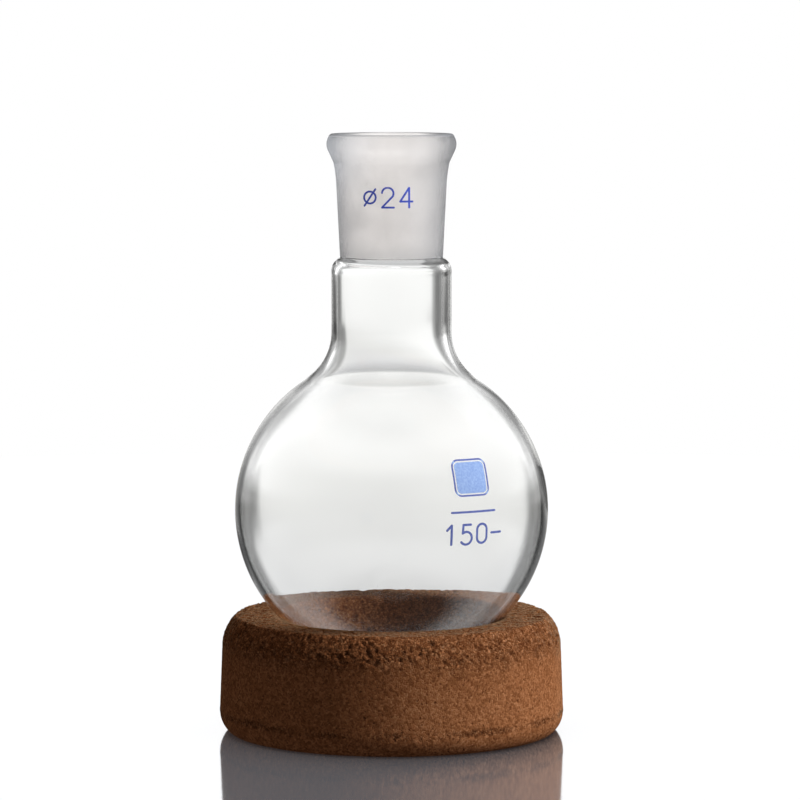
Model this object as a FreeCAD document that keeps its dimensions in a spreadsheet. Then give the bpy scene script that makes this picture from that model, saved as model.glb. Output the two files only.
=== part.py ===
import FreeCAD, Part
import math
import os
import re

import Sketcher
from FreeCAD import Vector

# A single-neck round bottom flask of borosilicate glass with a 24/29 ground socket, standing in a ring of
# pressed cork. Millimetres. The origin is the centre of the ring's underside and +Z points up the neck.
# The glass and its printed marks are drawn about the centre of the bulb, and their placement lifts them
# onto the ring, where the bulb rests on the rounded edge of the ring's mouth.

# Driving dimensions: alias, value, meaning.
DIMENSIONS = (
    ("bulb_radius", 37.0, "outside of the bulb"),
    ("bulb_wall", 1.6, "wall of the bulb"),
    ("neck_radius", 14.15, "outside of the neck tube"),
    ("neck_wall", 2.0, "wall of the neck tube"),
    ("outer_sweep", 13.0, "outside curve where the bulb runs into the neck"),
    ("inner_sweep", 15.0, "the same curve on the inside"),
    ("outer_shoulder", 3.15, "height over which the neck rounds in to the socket"),
    ("inner_shoulder", 3.6, "the same height on the inside"),
    ("flask_height", 125.5, "from the bottom of the bulb to the rim of the socket"),
    ("bore_radius", 12.0, "wide end of the ground bore, 24 mm across"),
    ("bore_length", 29.0, "length of the ground bore"),
    ("bore_taper", 0.05, "radius lost per millimetre of depth, 1 in 10 on the diameter"),
    ("socket_wall", 1.55, "wall of the socket over its straight flank"),
    ("flare_depth", 12.0, "depth below the rim where the flank starts to flare"),
    ("bead_depth", 6.75, "depth below the rim of the lower end of the bead"),
    ("bead_foot_radius", 13.6, "outside of the bead at its lower end"),
    ("bead_radius", 15.25, "outside of the bead at its widest"),
    ("bead_curve", 3.4, "rounding of the bead"),
    ("bead_drop", 2.4, "depth below the rim of the widest place"),
    ("rim_round", 0.6, "rounding of the outer edge of the rim"),
    ("bore_round", 0.25, "rounding of the inner edge of the rim"),
    ("enamel_thickness", 0.05, "thickness of the fired marks"),
    ("ring_height", 27.5, "height of the cork ring"),
    ("foot_radius", 38.3, "outside of the ring where it stands"),
    ("side_radius", 40.7, "outside of the ring at the bottom of its side"),
    ("side_draft", 0.6, "radius lost up the side"),
    ("side_bottom", 5.0, "height where the side starts"),
    ("side_top", 20.5, "height where the side ends"),
    ("crown_radius", 36.8, "outer edge of the flat top"),
    ("mouth_radius", 27.0, "hole at the top, before its edge is rounded"),
    ("mouth_round", 1.2, "rounding of the edge that carries the bulb"),
    ("hole_radius", 15.0, "hole at the underside"),
    ("seat_gap", 0.02, "clearance between the bulb and the ring"),
)

# Printed marks. Heights are measured from the centre of the bulb, and turns in degrees from the front (-Y)
# towards +X. A sign's cell is one high, and its width and pitch are shares of that height.
SIGN_WIDTH = 0.6
SIGN_PITCH = 0.92
BULB_MARK_TURN = 31.0
SPOT_HEIGHT = 10.8
SPOT_WIDTH = 9.2
SPOT_TALL = 8.4
SPOT_CORNER = 1.8
FRAME_STROKE = 0.4
FRAME_GAP = 0.3
RULE_HEIGHT = 3.1
RULE_LENGTH = 11.4
RULE_STROKE = 0.5
CAPACITY_HEIGHT = -2.0
CAPACITY_SIGN = 4.4
CAPACITY_STROKE = 0.55
SOCKET_MARK_TURN = -3.6
SOCKET_MARK_HEIGHT = 74.05
SOCKET_SIGN = 4.6
SOCKET_STROKE = 0.45

SHEET = "Sizes"
ORIGIN = (-1, 1)
Y_AXIS = -2
START, END, CENTRE = 1, 2, 3

# The mouth's rounded edge is an arc in the corner between the flat top and the tapered hole. The bulb
# touches that arc, so their two centres lie the sum of their radii apart.
HOLE_SLOPE = "atan((mouth_radius - hole_radius) / ring_height)"
EDGE_CENTRE = "(mouth_radius + mouth_round / tan(45 deg + %s / 2))" % HOLE_SLOPE
REACH = "sqrt((bulb_radius + mouth_round)^2 - %s^2)" % EDGE_CENTRE
BULB_CENTRE = "ring_height - mouth_round + %s + seat_gap" % REACH

# Heights and radii of the socket, from the centre of the bulb.
RIM = "(flask_height - bulb_radius)"
SEAM = "(flask_height - bulb_radius - bore_length)"
SEAM_BORE = "(bore_radius - bore_length * bore_taper)"
SEAM_RADIUS = "(bore_radius - bore_length * bore_taper + socket_wall)"
FLARE = "(flask_height - bulb_radius - flare_depth)"
FLARE_RADIUS = "(bore_radius - flare_depth * bore_taper + socket_wall)"
BEAD_FOOT = "(flask_height - bulb_radius - bead_depth)"


# ---------------------------------------------------------------- document

def add_sheet(doc):
    """Put the driving dimensions in a spreadsheet, one to a row."""
    sheet = doc.addObject("Spreadsheet::Sheet", SHEET)
    for row, (alias, value, meaning) in enumerate(DIMENSIONS, start=1):
        sheet.set("A%d" % row, meaning)
        sheet.set("B%d" % row, str(value))
        sheet.setAlias("B%d" % row, alias)
    doc.recompute()


def over_sheet(formula):
    """Point each alias in a formula at its cell."""
    aliases = {alias for alias, _, _ in DIMENSIONS}
    words = re.findall(r"[a-z_]+|[^a-z_]+", formula)
    return "".join("%s.%s" % (SHEET, word) if word in aliases else word for word in words)


def value(owner, formula):
    """The present value of a formula over the sheet."""
    return float(owner.evalExpression(over_sheet(formula)))


def lift_onto_ring(piece):
    """Raise a piece drawn about the bulb's centre to where the bulb rests on the ring."""
    piece.setExpression("Placement.Base.z", over_sheet(BULB_CENTRE))


# ---------------------------------------------------------------- sketches

def profile_sketch(body, name):
    """A sketch on the body's upright plane: its x is a radius and its y is a height."""
    upright = next(plane for plane in body.Origin.OriginFeatures if plane.Role == "XZ_Plane")
    sketch = body.newObject("Sketcher::SketchObject", name)
    sketch.AttachmentSupport = [(upright, "")]
    sketch.MapMode = "FlatFace"
    return sketch


def line(start, end):
    return Part.LineSegment(Vector(*start, 0), Vector(*end, 0))


def arc(centre, radius, first, last):
    """An arc that runs anticlockwise between two angles in degrees."""
    circle = Part.Circle(Vector(*centre, 0), Vector(0, 0, 1), radius)
    return Part.ArcOfCircle(circle, math.radians(first), math.radians(last))


def leaving_arc(point, heading, through):
    """An arc that leaves a point along a heading and ends at another point.

    Arcs run anticlockwise, so it starts at the point where it bends left and ends there where it bends
    right.
    """
    here = Vector(*point, 0)
    chord = Vector(*through, 0) - here
    left = Vector(-heading[1], heading[0], 0).normalize()
    reach = chord.dot(chord) / (2 * chord.dot(left))
    centre = here + left * reach
    ends = [math.degrees(math.atan2(spot.y - centre.y, spot.x - centre.x)) for spot in (here, here + chord)]
    if reach < 0:
        ends.reverse()
    return arc((centre.x, centre.y), abs(reach), *ends)


def tie(sketch, kind, *places):
    sketch.addConstraint(Sketcher.Constraint(kind, *places))


def measure(sketch, kind, places, formula):
    """Add a dimension that follows a formula over the sheet."""
    number = sketch.addConstraint(Sketcher.Constraint(kind, *places, value(sketch, formula)))
    sketch.setExpression("Constraints[%d]" % number, over_sheet(formula))


def pin(sketch, place, radius, height):
    """Fix a point's distance from the axis and its height."""
    measure(sketch, "DistanceX", ORIGIN + place, radius)
    measure(sketch, "DistanceY", ORIGIN + place, height)


# ---------------------------------------------------------------- features

def turn(body, kind, sketch, name):
    """Revolve a sketch about its upright axis, to add (Revolution) or to cut (Groove)."""
    feature = body.newObject("PartDesign::" + kind, name)
    feature.Profile = sketch
    feature.ReferenceAxis = (sketch, ["V_Axis"])
    feature.Angle = 360
    return feature


def round_edge(body, base, radius, height, formula, name):
    """Round the circular edge that lies nearest to a radius and a height."""
    body.Document.recompute()

    def miss(numbered):
        curve = numbered[1].Curve
        return abs(curve.Radius - value(body, radius)) + abs(curve.Center.z - value(body, height))

    circles = [(number, edge) for number, edge in enumerate(base.Shape.Edges, start=1)
               if edge.Curve.TypeId == "Part::GeomCircle" and edge.isClosed()]
    number, _ = min(circles, key=miss)
    fillet = body.newObject("PartDesign::Fillet", name)
    fillet.Base = (base, ["Edge%d" % number])
    fillet.setExpression("Radius", over_sheet(formula))
    return fillet


# ---------------------------------------------------------------- glass

def glass_face(sketch, ball, tube, sweep, shoulder, seam_radius):
    """Draw one face of the glass in section, from the bottom of the bulb up to the seam.

    Returns its two free ends: the point on the axis and the point at the seam.
    """
    ball_now, tube_now, sweep_now = (value(sketch, size) for size in (ball, tube, sweep))
    seam_now = value(sketch, SEAM)
    neck_top = seam_now - value(sketch, shoulder)
    collar = (tube_now + sweep_now, math.sqrt((ball_now + sweep_now) ** 2 - (tube_now + sweep_now) ** 2))
    lean = math.degrees(math.atan2(collar[1], collar[0]))

    bulb = sketch.addGeometry(arc((0, 0), ball_now, -90, lean))
    blend = sketch.addGeometry(arc(collar, sweep_now, 180, 180 + lean))
    neck = sketch.addGeometry(line((tube_now, collar[1]), (tube_now, neck_top)))
    seam_end = (value(sketch, seam_radius), seam_now)
    turn_in = sketch.addGeometry(leaving_arc((tube_now, neck_top), (0, 1), seam_end))

    tie(sketch, "Coincident", bulb, CENTRE, *ORIGIN)
    tie(sketch, "PointOnObject", bulb, START, Y_AXIS)
    tie(sketch, "Tangent", bulb, END, blend, END)
    tie(sketch, "Tangent", blend, START, neck, START)
    tie(sketch, "Tangent", neck, END, turn_in, START)
    tie(sketch, "Vertical", neck)
    measure(sketch, "Radius", (bulb,), ball)
    measure(sketch, "Radius", (blend,), sweep)
    measure(sketch, "DistanceX", ORIGIN + (neck, END), tube)
    measure(sketch, "DistanceY", (neck, END, turn_in, END), shoulder)
    pin(sketch, (turn_in, END), seam_radius, SEAM)
    return (bulb, START), (turn_in, END)


def bridge(sketch, first, last):
    """Draw a line between two ends that are already in the sketch."""
    corners = [sketch.getPoint(*place) for place in (first, last)]
    joined = sketch.addGeometry(line(*[(corner.x, corner.y) for corner in corners]))
    tie(sketch, "Coincident", joined, START, *first)
    tie(sketch, "Coincident", joined, END, *last)
    return joined


def make_bulb_and_neck(doc):
    """The blown bulb, its neck tube and the shoulder that rounds in to the socket: one hollow solid."""
    body = doc.addObject("PartDesign::Body", "bulb_and_neck")
    sketch = profile_sketch(body, "glass_section")
    outer = glass_face(sketch, "bulb_radius", "neck_radius", "outer_sweep", "outer_shoulder", SEAM_RADIUS)
    inner = glass_face(sketch, "(bulb_radius - bulb_wall)", "(neck_radius - neck_wall)", "inner_sweep",
                       "inner_shoulder", SEAM_BORE)
    for outer_end, inner_end in zip(outer, inner):
        bridge(sketch, inner_end, outer_end)
    turn(body, "Revolution", sketch, "blown_glass")
    lift_onto_ring(body)
    return body


def make_ground_socket(doc):
    """The 24/29 socket: a ground tapered bore, a flank parallel to it, a flare and a bead at the rim."""
    body = doc.addObject("PartDesign::Body", "ground_socket")
    sketch = profile_sketch(body, "socket_section")
    rim, seam, flare, foot = (value(sketch, height) for height in (RIM, SEAM, FLARE, BEAD_FOOT))
    bore_now, seam_bore, seam_now, flare_now, foot_now, curve_now = (
        value(sketch, radius)
        for radius in ("bore_radius", SEAM_BORE, SEAM_RADIUS, FLARE_RADIUS, "bead_foot_radius", "bead_curve"))
    bead_centre = (value(sketch, "bead_radius - bead_curve"), rim - value(sketch, "bead_drop"))
    to_foot = (foot_now - bead_centre[0], foot - bead_centre[1])
    low = math.atan2(to_foot[1], to_foot[0]) + math.acos(curve_now / math.hypot(*to_foot))
    high = math.asin((rim - bead_centre[1]) / curve_now)
    bead_low = (bead_centre[0] + curve_now * math.cos(low), bead_centre[1] + curve_now * math.sin(low))
    rim_end = (bead_centre[0] + curve_now * math.cos(high), rim)

    flank = sketch.addGeometry(line((seam_now, seam), (flare_now, flare)))
    heading = (flare_now - seam_now, flare - seam)
    flaring = sketch.addGeometry(leaving_arc((flare_now, flare), heading, (foot_now, foot)))
    under = sketch.addGeometry(line((foot_now, foot), bead_low))
    bead = sketch.addGeometry(arc(bead_centre, curve_now, math.degrees(low), math.degrees(high)))
    top = sketch.addGeometry(line(rim_end, (bore_now, rim)))
    bore = sketch.addGeometry(line((bore_now, rim), (seam_bore, seam)))

    tie(sketch, "Tangent", flank, END, flaring, END)
    tie(sketch, "Coincident", flaring, START, under, START)
    tie(sketch, "Tangent", under, END, bead, START)
    tie(sketch, "Coincident", bead, END, top, START)
    tie(sketch, "Coincident", top, END, bore, START)
    tie(sketch, "Horizontal", top)
    pin(sketch, (flank, START), SEAM_RADIUS, SEAM)
    pin(sketch, (flank, END), FLARE_RADIUS, FLARE)
    pin(sketch, (under, START), "bead_foot_radius", BEAD_FOOT)
    pin(sketch, (bead, CENTRE), "(bead_radius - bead_curve)", "(flask_height - bulb_radius - bead_drop)")
    measure(sketch, "Radius", (bead,), "bead_curve")
    pin(sketch, (bore, START), "bore_radius", RIM)
    pin(sketch, (bore, END), SEAM_BORE, SEAM)
    bridge(sketch, (bore, END), (flank, START))

    blank = turn(body, "Revolution", sketch, "socket_blank")
    rim_radius = "(bead_radius - bead_curve + sqrt(bead_curve^2 - bead_drop^2))"
    rounded = round_edge(body, blank, rim_radius, RIM, "rim_round", "rounded_rim")
    round_edge(body, rounded, "bore_radius", RIM, "bore_round", "rounded_bore")
    lift_onto_ring(body)
    return body


# ---------------------------------------------------------------- cork

def make_cork_ring(doc):
    """The stand: a turned disc of pressed cork with a tapered hole and a rounded mouth."""
    body = doc.addObject("PartDesign::Body", "cork_ring")
    sketch = profile_sketch(body, "disc_section")
    foot_now, side_now, draft, low, high, crown_now, height = (
        value(sketch, size)
        for size in ("foot_radius", "side_radius", "side_draft", "side_bottom", "side_top", "crown_radius",
                     "ring_height"))
    side_low = (side_now, low)
    side_high = (side_now - draft, high)

    base = sketch.addGeometry(line((0, 0), (foot_now, 0)))
    foot = sketch.addGeometry(leaving_arc(side_low, (draft, low - high), (foot_now, 0)))
    side = sketch.addGeometry(line(side_low, side_high))
    crown = sketch.addGeometry(leaving_arc(side_high, (-draft, high - low), (crown_now, height)))
    top = sketch.addGeometry(line((crown_now, height), (0, height)))

    tie(sketch, "Coincident", base, START, *ORIGIN)
    tie(sketch, "Coincident", base, END, foot, START)
    tie(sketch, "Tangent", foot, END, side, START)
    tie(sketch, "Tangent", side, END, crown, START)
    tie(sketch, "Coincident", crown, END, top, START)
    tie(sketch, "Horizontal", base)
    tie(sketch, "Horizontal", top)
    tie(sketch, "PointOnObject", top, END, Y_AXIS)
    measure(sketch, "DistanceX", ORIGIN + (base, END), "foot_radius")
    pin(sketch, (side, START), "side_radius", "side_bottom")
    pin(sketch, (side, END), "(side_radius - side_draft)", "side_top")
    pin(sketch, (top, START), "crown_radius", "ring_height")
    bridge(sketch, (top, END), (base, START))
    turn(body, "Revolution", sketch, "turned_disc")

    hole = profile_sketch(body, "hole_section")
    bore = hole.addGeometry(line((value(hole, "hole_radius"), 0), (value(hole, "mouth_radius"), height)))
    lid = hole.addGeometry(line((value(hole, "mouth_radius"), height), (0, height)))
    floor = hole.addGeometry(line((0, 0), (value(hole, "hole_radius"), 0)))
    tie(hole, "Coincident", bore, END, lid, START)
    tie(hole, "Coincident", floor, END, bore, START)
    tie(hole, "Coincident", floor, START, *ORIGIN)
    tie(hole, "PointOnObject", lid, END, Y_AXIS)
    tie(hole, "Horizontal", lid)
    tie(hole, "Horizontal", floor)
    measure(hole, "DistanceX", ORIGIN + (bore, START), "hole_radius")
    pin(hole, (bore, END), "mouth_radius", "ring_height")
    bridge(hole, (lid, END), (floor, START))
    bored = turn(body, "Groove", hole, "tapered_hole")
    round_edge(body, bored, "mouth_radius", "ring_height", "mouth_round", "rounded_mouth")
    return body


# ---------------------------------------------------------------- printed marks

def straight(*points):
    return [Part.makeLine(Vector(*start, 0), Vector(*end, 0)) for start, end in zip(points, points[1:])]


def bend(start, middle, end):
    return [Part.Arc(Vector(*start, 0), Vector(*middle, 0), Vector(*end, 0)).toShape()]


def sign_strokes(sign):
    """Centre lines of a sign in its cell. Each stroke is a list of edges that meet end to end."""
    right, half = SIGN_WIDTH, SIGN_WIDTH / 2
    if sign == "0":
        sides = straight((0, half), (0, 1 - half)) + bend((0, 1 - half), (half, 1), (right, 1 - half))
        return [sides + straight((right, 1 - half), (right, half)), bend((right, half), (half, 0), (0, half))]
    if sign == "1":
        return [straight((0.1, 0.75), (0.35, 1), (0.35, 0))]
    if sign == "2":
        return [bend((0, 0.74), (0.32, 1), (0.54, 0.56)) + straight((0.54, 0.56), (0, 0), (right, 0))]
    if sign == "4":
        return [straight((0.44, 0), (0.44, 1), (0, 0.3)), straight((0, 0.3), (right, 0.3))]
    if sign == "5":
        return [straight((0.54, 1), (0.1, 1), (0.06, 0.56)) + bend((0.06, 0.56), (right, 0.32), (0, 0.1))]
    if sign == "diameter":
        rounds = [bend((0, 0.5), (half, 0.5 + side * half), (right, 0.5)) for side in (-1, 1)]
        return rounds + [straight((0.02, 0.08), (right - 0.02, 0.92))]
    return [straight((0, 0.5), (right, 0.5))]


def slot(start, end, stroke):
    """The flat face of one straight stroke with round ends."""
    along = (end - start).normalize() * (stroke / 2)
    side = along.cross(Vector(0, 0, 1))
    return Part.Face(Part.Wire([
        Part.makeLine(start + side, end + side),
        Part.Arc(end + side, end + along, end - side).toShape(),
        Part.makeLine(end - side, start - side),
        Part.Arc(start - side, start - along, start + side).toShape(),
    ]))


def stroke_face(centre_line, stroke):
    """The flat face of a stroke that follows a centre line."""
    if len(centre_line.Edges) == 1 and centre_line.Edges[0].Curve.TypeId == "Part::GeomLine":
        return slot(*[corner.Point for corner in centre_line.Vertexes], stroke)
    return centre_line.makeOffset2D(stroke / 2, join=0, fill=True, openResult=False)


def printed_line(signs, tall, stroke):
    """Flat faces of a row of signs, centred on the origin."""
    faces = []
    row = SIGN_PITCH * (len(signs) - 1) + SIGN_WIDTH
    for place, sign in enumerate(signs):
        for edges in sign_strokes(sign):
            centre_line = Part.Wire(edges)
            centre_line.translate(Vector(place * SIGN_PITCH - row / 2, -0.5, 0))
            centre_line.scale(tall)
            faces.append(stroke_face(centre_line, stroke))
    return faces


def rounded_rectangle(width, tall, corner):
    """A flat rectangle with rounded corners, centred on the origin."""
    edges = []
    for turned, (long, short) in enumerate(((width, tall), (tall, width)) * 2):
        side = Part.makeLine(Vector(corner - long / 2, -short / 2, 0), Vector(long / 2 - corner, -short / 2, 0))
        pivot = Vector(long / 2 - corner, corner - short / 2, 0)
        quarter = Part.makeCircle(corner, pivot, Vector(0, 0, 1), 270, 360)
        for edge in (side, quarter):
            edge.rotate(Vector(0, 0, 0), Vector(0, 0, 1), 90 * turned)
            edges.append(edge)
    return Part.Face(Part.Wire(Part.__sortEdges__(edges)))


def stand_off(faces, inner, outer, angle, height):
    """Turn flat faces into blocks that reach outwards from the axis, at an angle round it and a height."""
    upright = FreeCAD.Rotation(Vector(1, 0, 0), 90)
    place = FreeCAD.Placement(Vector(0, 0, height), FreeCAD.Rotation(Vector(0, 0, 1), angle) * upright)
    blocks = []
    for face in faces:
        block = face.translated(Vector(0, 0, inner)).extrude(Vector(0, 0, outer - inner))
        block.Placement = place * block.Placement
        blocks.append(block)
    joined = blocks[0].fuse(blocks[1:]) if len(blocks) > 1 else blocks[0]
    return joined.removeSplitter()


def make_blocks(doc, name, shape):
    blocks = doc.addObject("Part::Feature", name)
    blocks.Shape = shape
    return blocks


def skin(doc, name, outside, inside):
    """A thin layer between two shapes, in which the enamel lies."""
    layer = doc.addObject("Part::Cut", name)
    layer.Base = outside
    layer.Tool = inside
    return layer


def bulb_skin(doc):
    balls = []
    for name, radius in (("bulb_surface", "bulb_radius"), ("enamel_over_bulb", "bulb_radius + enamel_thickness")):
        ball = doc.addObject("Part::Sphere", name)
        ball.setExpression("Radius", over_sheet(radius))
        balls.append(ball)
    return skin(doc, "bulb_skin", balls[1], balls[0])


def flank_skin(doc):
    cones = []
    for name, extra in (("flank_surface", ""), ("enamel_over_flank", " + enamel_thickness")):
        cone = doc.addObject("Part::Cone", name)
        cone.setExpression("Radius1", over_sheet(SEAM_RADIUS + extra))
        cone.setExpression("Radius2", over_sheet(FLARE_RADIUS + extra))
        cone.setExpression("Height", over_sheet("bore_length - flare_depth"))
        cone.setExpression("Placement.Base.z", over_sheet(SEAM))
        cones.append(cone)
    return skin(doc, "flank_skin", cones[1], cones[0])


def print_mark(doc, name, layer, shape):
    """Keep the part of a layer that lies inside a mark's blocks."""
    mark = doc.addObject("Part::Common", name)
    mark.Base = layer
    mark.Tool = make_blocks(doc, name + "_blocks", shape)
    lift_onto_ring(mark)
    return mark


def make_marks(doc):
    """Three marks of fired enamel: a blank writing spot, the capacity and the size of the socket."""
    radius = value(doc.getObject(SHEET), "bulb_radius")
    near, far = radius * 0.8, radius * 1.1
    gap = FRAME_STROKE + FRAME_GAP
    frame = rounded_rectangle(SPOT_WIDTH, SPOT_TALL, SPOT_CORNER).cut(
        rounded_rectangle(SPOT_WIDTH - 2 * FRAME_STROKE, SPOT_TALL - 2 * FRAME_STROKE, SPOT_CORNER - FRAME_STROKE))
    field = rounded_rectangle(SPOT_WIDTH - 2 * gap, SPOT_TALL - 2 * gap, SPOT_CORNER - gap)
    rule = slot(Vector(-RULE_LENGTH / 2, 0, 0), Vector(RULE_LENGTH / 2, 0, 0), RULE_STROKE)
    spot = stand_off(frame.Faces + [field], near, far, BULB_MARK_TURN, SPOT_HEIGHT)
    ruled = stand_off([rule], near, far, BULB_MARK_TURN, RULE_HEIGHT)
    capacity = printed_line(("1", "5", "0", "dash"), CAPACITY_SIGN, CAPACITY_STROKE)
    bore = value(doc.getObject(SHEET), "bore_radius")
    size = printed_line(("diameter", "2", "4"), SOCKET_SIGN, SOCKET_STROKE)

    over_bulb = bulb_skin(doc)
    over_flank = flank_skin(doc)
    return (
        print_mark(doc, "marking_spot", over_bulb, spot.fuse(ruled)),
        print_mark(doc, "capacity_mark", over_bulb,
                   stand_off(capacity, near, far, BULB_MARK_TURN, CAPACITY_HEIGHT)),
        print_mark(doc, "joint_size_mark", over_flank,
                   stand_off(size, bore / 2, bore * 1.5, SOCKET_MARK_TURN, SOCKET_MARK_HEIGHT)),
    )


# ---------------------------------------------------------------- whole object

def check(doc, pieces):
    """Stop before anything is written if an object failed or a piece isn't a sound solid."""
    for item in doc.Objects:
        if "Invalid" in item.State or "Error" in item.State:
            raise RuntimeError("%s failed: %s" % (item.Name, item.State))
    for piece in pieces:
        shape = piece.Shape
        if shape.isNull() or not shape.isValid() or not shape.Solids or shape.Volume <= 0:
            raise RuntimeError("%s isn't a sound solid" % piece.Label)


def main():
    doc = FreeCAD.newDocument("round_bottom_flask")
    add_sheet(doc)
    pieces = [make_cork_ring(doc), make_bulb_and_neck(doc), make_ground_socket(doc)]
    pieces.extend(make_marks(doc))
    for piece in pieces:
        piece.Label = piece.Name
    doc.recompute()
    check(doc, pieces)

    os.makedirs("parts", exist_ok=True)
    for piece in pieces:
        piece.Shape.exportStep("parts/%s.step" % piece.Label)
        box = piece.Shape.BoundBox
        print("%-16s %3d solids %10.3f mm3  z %7.2f to %7.2f"
              % (piece.Label, len(piece.Shape.Solids), piece.Shape.Volume, box.ZMin, box.ZMax))


main()
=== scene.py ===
from collections import namedtuple
import itertools
import math

import bmesh
import bpy
import numpy as np
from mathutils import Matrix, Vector


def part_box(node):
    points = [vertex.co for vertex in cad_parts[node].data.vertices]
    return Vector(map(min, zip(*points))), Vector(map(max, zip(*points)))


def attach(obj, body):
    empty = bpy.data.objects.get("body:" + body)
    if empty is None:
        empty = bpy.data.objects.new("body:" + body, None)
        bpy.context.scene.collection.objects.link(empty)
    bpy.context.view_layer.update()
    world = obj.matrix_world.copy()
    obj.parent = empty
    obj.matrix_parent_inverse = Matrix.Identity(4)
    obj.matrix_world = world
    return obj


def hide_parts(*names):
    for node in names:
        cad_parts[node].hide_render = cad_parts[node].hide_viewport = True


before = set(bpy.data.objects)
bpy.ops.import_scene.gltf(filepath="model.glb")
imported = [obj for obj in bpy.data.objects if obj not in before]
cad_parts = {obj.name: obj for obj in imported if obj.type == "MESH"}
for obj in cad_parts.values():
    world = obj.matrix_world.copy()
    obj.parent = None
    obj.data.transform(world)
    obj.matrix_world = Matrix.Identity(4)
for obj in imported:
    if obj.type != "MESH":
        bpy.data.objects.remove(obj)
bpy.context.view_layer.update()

# A round bottom flask with a ground socket, resting in a ring of pressed cork. The frame gives every
# place and outer size; outlines are worked out in millimetres and turned into metres at the end.
MM = 0.001
RING_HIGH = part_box("cork_ring")[1]
GLASS_LOW, GLASS_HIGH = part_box("bulb_and_neck")
SOCKET_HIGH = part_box("ground_socket")[1]

BULB_RADIUS = (GLASS_HIGH.x - GLASS_LOW.x) / 2 / MM
BULB_CENTRE = GLASS_LOW.z / MM + BULB_RADIUS
SEAM = GLASS_HIGH.z / MM
RIM = SOCKET_HIGH.z / MM
BEAD_RADIUS = SOCKET_HIGH.x / MM
RING_RADIUS = RING_HIGH.x / MM
RING_HEIGHT = RING_HIGH.z / MM

# Glass, in millimetres. The neck is drawn with a thinner wall than in the CAD.
BULB_WALL = 1.6
NECK_RADIUS = 14.15
NECK_WALL = 1.55
OUTER_SWEEP = 13.0
INNER_SWEEP = 15.0
OUTER_SHOULDER = 3.15
INNER_SHOULDER = 3.6
BORE_RADIUS = 12.0
BORE_TAPER = 0.05
SOCKET_WALL = 1.55
FLARE_DEPTH = 12.0
BEAD_DEPTH = 6.75
BEAD_FOOT_RADIUS = 13.6
BEAD_CURVE = 3.4
BEAD_DROP = 2.4
RIM_ROUND = 0.6
RIM_LEAN = 0.3
BORE_ROUND = 0.25
GLASS_STEP = 0.45
GLASS_TURNS = 192
CLEAR, FLANK, GROUND = 0, 1, 2

# Unevenness of the blown glass inside, in millimetres: how far the neck's bore sits off the axis, the ridge
# under the seam, and waves in the wall as (length, noise channel, depth). The shift sets in between the root
# and the start of the neck, given in bulb radii over the bulb's centre, and fades out under the seam.
BORE_SHIFT = 0.3
NECK_ROOT = 0.9
NECK_START = 1.2
SHIFT_FADE = 4
WAVE_FADE = 6
RIDGE_DROP = 1.9
RIDGE_SWAY = 0.4
RIDGE_PHASE = 0.6
RIDGE_RISE = 0.24
RIDGE_WIDTH = 0.42
WALL_WAVES = ((26.0, 40, 0.16), (11.0, 41, 0.05))

# Cork, in millimetres.
SIDE_DRAFT = 0.6
SIDE_BOTTOM = 5.0
SIDE_TOP = 20.5
FOOT_RADIUS = 38.3
CROWN_RADIUS = 36.8
MOUTH_RADIUS = 27.0
MOUTH_ROUND = 1.2
HOLE_RADIUS = 15.0
CORK_STEP = 0.4
CORK_TURNS = 700
PIT_DEPTH = 0.5
GROOVE_DEPTH = 0.16
GRANULE_RELIEF = 0.24
WAVE_DEPTH = 0.05
SEAT_DEPTH = 0.12
SEAT_EDGE = (1.0, 2.2)
SEAT_CALM = 0.8
UNDERSIDE = 0.01
FOOT_EASE = 0.5
DRIFT = 0.3
DRIFT_LENGTH = 1.1
DRIFT_CHANNEL = 60

# The ring's side is smooth, apart from a broken line of open grain along its foot. Going outwards, it turns
# smooth between SIDE_START past the hole and SIDE_END short of the side. Its upper edge is a band that sways.
# The line has limits for its half width, and it sways and breaks off.
SIDE_SMOOTHNESS = 0.9
SIDE_START = 14
SIDE_END = 4
SIDE_EDGE = 3.5
SIDE_SWAY = 1.2
LINE_EDGE = (0.35, 1.1)
LINE_SWAY = 0.3
LINE_BREAKS = (-0.5, 0.6)

# Noise patterns in the cork, each with its length and its channel.
SIDE_NOISE = (5.0, 82)
LINE_NOISE = (12.0, 80)
BREAK_NOISE = (7.0, 81)
BROAD_NOISE = (9.0, 70)
FINE_NOISE = (0.8, 71)

# Two sorts of granule. Each has a size in millimetres, a noise channel, and three pairs of limits between
# which a share runs from none to all: the width of the seams, the numbers of lost granules, and the hollow
# that one leaves, both widths in shares of the size. Last come its weights in the grooves, pits and tone.
Granule = namedtuple("Granule", "size channel seam lost hollow in_groove in_pit in_tone")
GRANULES = (
    Granule(0.95, 10, (0.02, 0.2), (0.86, 0.90), (0.25, 0.7), 0.5, 0.9, 0.55),
    Granule(0.62, 20, (0.02, 0.22), (0.82, 0.87), (0.3, 0.75), 0.4, 0.75, 0.45),
)
# Painted shade: how far the open grooves lower the tone, and how dark the grooves and the lost granules'
# hollows are painted.
GROOVE_SHADE_ON_TONE = 0.3
GROOVE_PAINTED_SHADE = 0.2
PIT_PAINTED_SHADE = 0.85

# Marks. The writing field's middle is given by its height over the bulb's centre and its turn from the front
# towards +X, and the rest are its half sizes inside the frame, in millimetres.
FIELD_RISE = 10.8
FIELD_TURN = 31.0
FIELD_HALF_HEIGHT = 3.75
FIELD_HALF_WIDTH = 4.2
PRINT_THICKNESS = 0.05 * MM
PRINT_STEP = 0.5 * MM
PRINT_ROUNDS = 5
PRINT_WELD = 0.001 * MM
PRINT_SUNK = 0.02 * MM
PRINT_PROUD = 0.04 * MM

# Materials.
GLASS_IOR = 1.474
BEAD_CLEARER = 0.12
CHIP_SCALE = 2000.0
WHITE = (1.0, 1.0, 1.0)

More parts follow.
